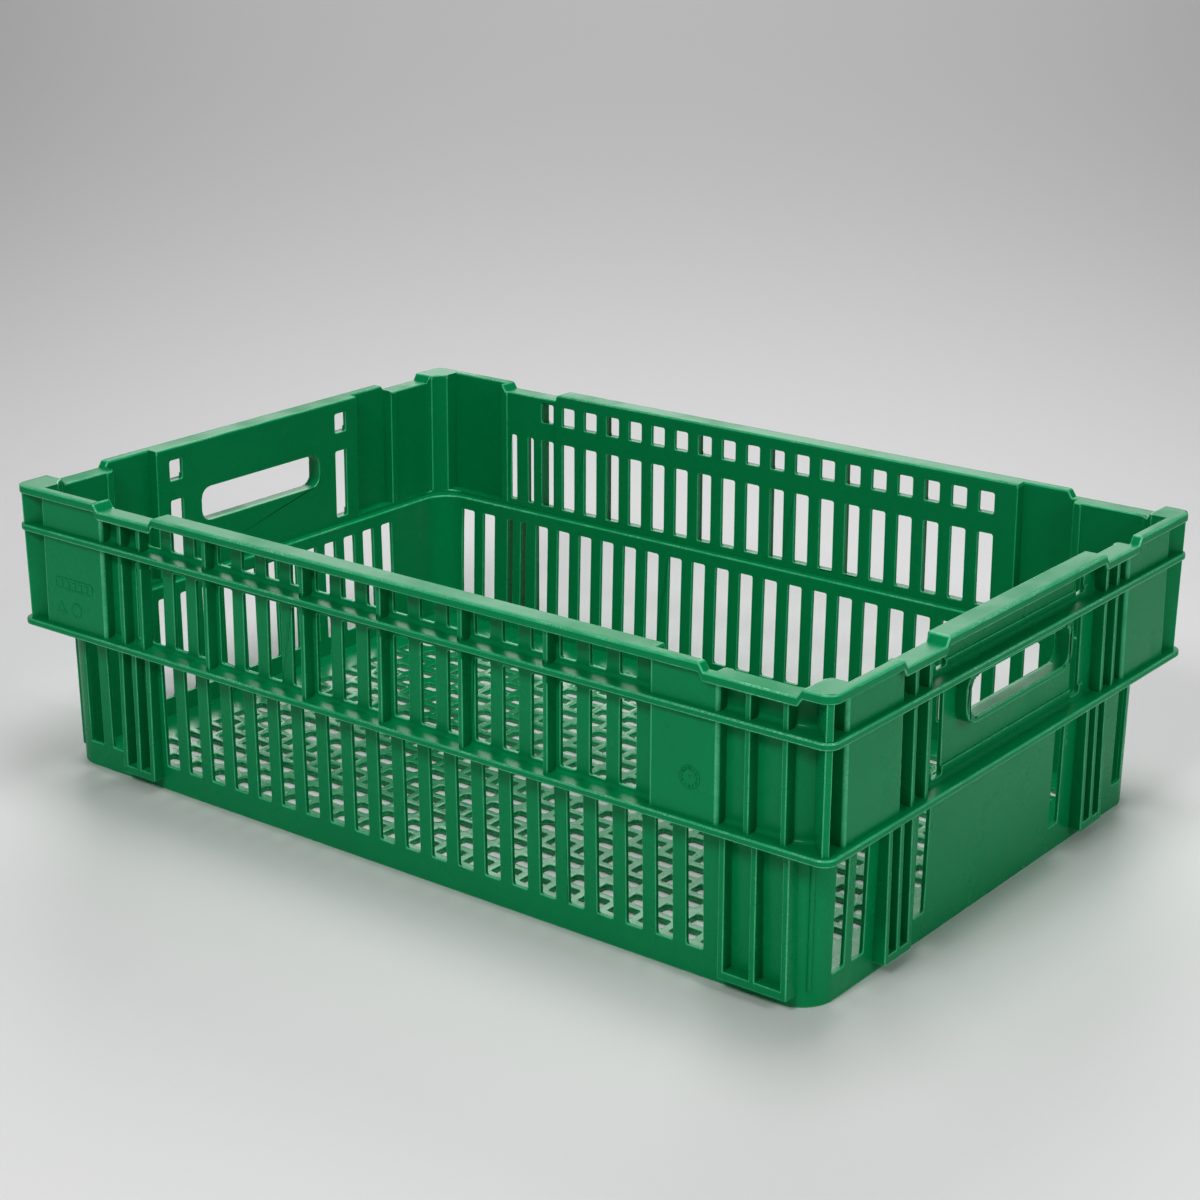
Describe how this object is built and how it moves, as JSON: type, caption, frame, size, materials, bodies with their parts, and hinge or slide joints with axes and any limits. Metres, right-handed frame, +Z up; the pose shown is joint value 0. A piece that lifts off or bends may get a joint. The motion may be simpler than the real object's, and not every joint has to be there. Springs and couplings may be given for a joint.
{
  "type": "storage crate",
  "caption": "Rectangular stack-and-nest storage crate with slotted walls, wall columns, ledge and rim flanges, dipped rim and hand holes.",
  "frame": {"origin": "bottom centre of the crate's box, on the floor's underside", "axes": "+X along the long side, towards the end whose columns stand closer together; +Y across; +Z up"},
  "size_m": [0.6, 0.4, 0.183],
  "materials": {
    "moulding": "semi-gloss deep green polypropylene, lightly scuffed",
    "flange": "semi-gloss deep green polypropylene, edges rubbed paler",
    "base": "deep green polypropylene, duller from sliding"
  },
  "bodies": {
    "root": {"column_back_left": "moulding", "column_back_right": "moulding", "column_front_left": "moulding", "column_front_right": "moulding", "column_left_back": "moulding", "column_left_front": "moulding", "column_right_back": "moulding", "column_right_front": "moulding", "floor_grid": "base", "hand_collar_left": "flange", "hand_collar_right": "flange", "ledge_flange_back": "flange", "ledge_flange_front": "flange", "ledge_flange_left": "flange", "ledge_flange_right": "flange", "lower_corner_back_left": "moulding", "lower_corner_back_right": "moulding", "lower_corner_front_left": "moulding", "lower_corner_front_right": "moulding", "lower_wall_back": "moulding", "lower_wall_front": "moulding", "lower_wall_left": "moulding", "lower_wall_right": "moulding", "middle_flange_back": "flange", "middle_flange_front": "flange", "middle_flange_left": "flange", "middle_flange_right": "flange", "pocket_back_left": "moulding", "pocket_back_right": "moulding", "pocket_front_left": "moulding", "pocket_front_right": "moulding", "pocket_left_back": "moulding", "pocket_left_front": "moulding", "pocket_right_back": "moulding", "pocket_right_front": "moulding", "rim_back": "flange", "rim_back_pocket_left": "flange", "rim_back_pocket_right": "flange", "rim_corner_back_left": "flange", "rim_corner_back_right": "flange", "rim_corner_front_left": "flange", "rim_corner_front_right": "flange", "rim_front": "flange", "rim_front_pocket_left": "flange", "rim_front_pocket_right": "flange", "rim_left": "flange", "rim_left_pocket_back": "flange", "rim_left_pocket_front": "flange", "rim_right": "flange", "rim_right_pocket_back": "flange", "rim_right_pocket_front": "flange", "upper_corner_back_left": "moulding", "upper_corner_back_right": "moulding", "upper_corner_front_left": "moulding", "upper_corner_front_right": "moulding", "upper_wall_back": "moulding", "upper_wall_front": "moulding", "upper_wall_left": "moulding", "upper_wall_right": "moulding"}
  },
  "joints": []
}
